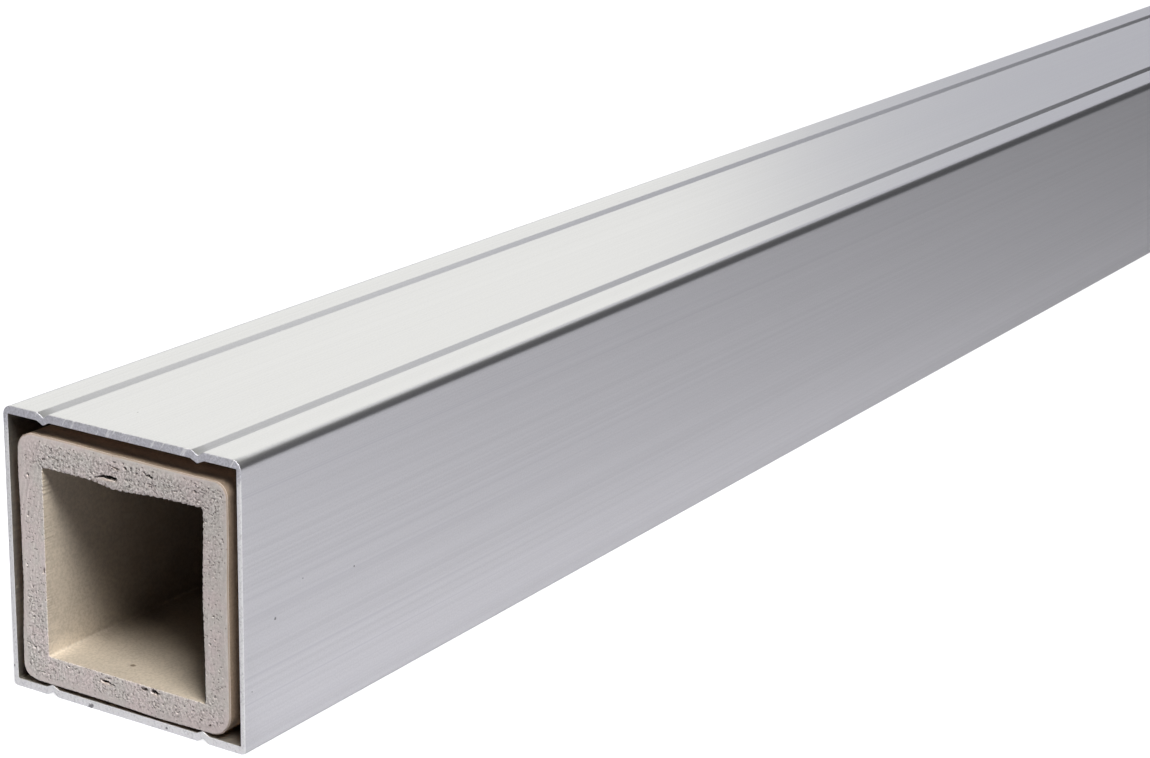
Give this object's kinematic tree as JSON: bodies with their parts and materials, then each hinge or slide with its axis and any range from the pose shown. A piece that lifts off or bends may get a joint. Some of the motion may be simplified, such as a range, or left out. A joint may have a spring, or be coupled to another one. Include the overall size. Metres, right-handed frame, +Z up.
{
  "type": "fence post",
  "caption": "Square aluminium fence post with grooved faces around a loose hollow core, sawn off square at both ends.",
  "frame": {"origin": "on the ground under the middle of the post, which lies on one of its grooved faces", "axes": "+X along the post towards the cut end that the picture doesn't show, +Y across it, +Z up"},
  "size_m": [1, 0.07, 0.07],
  "materials": {
    "sleeve_aluminium": "satin anodised, with fine lines along the post and sawn ends",
    "core_composite": "cream extruded skin, with a grey-beige sawn end full of fine pores"
  },
  "bodies": {
    "root": {"outer_sleeve": "sleeve_aluminium", "inner_core": "core_composite"}
  },
  "joints": []
}
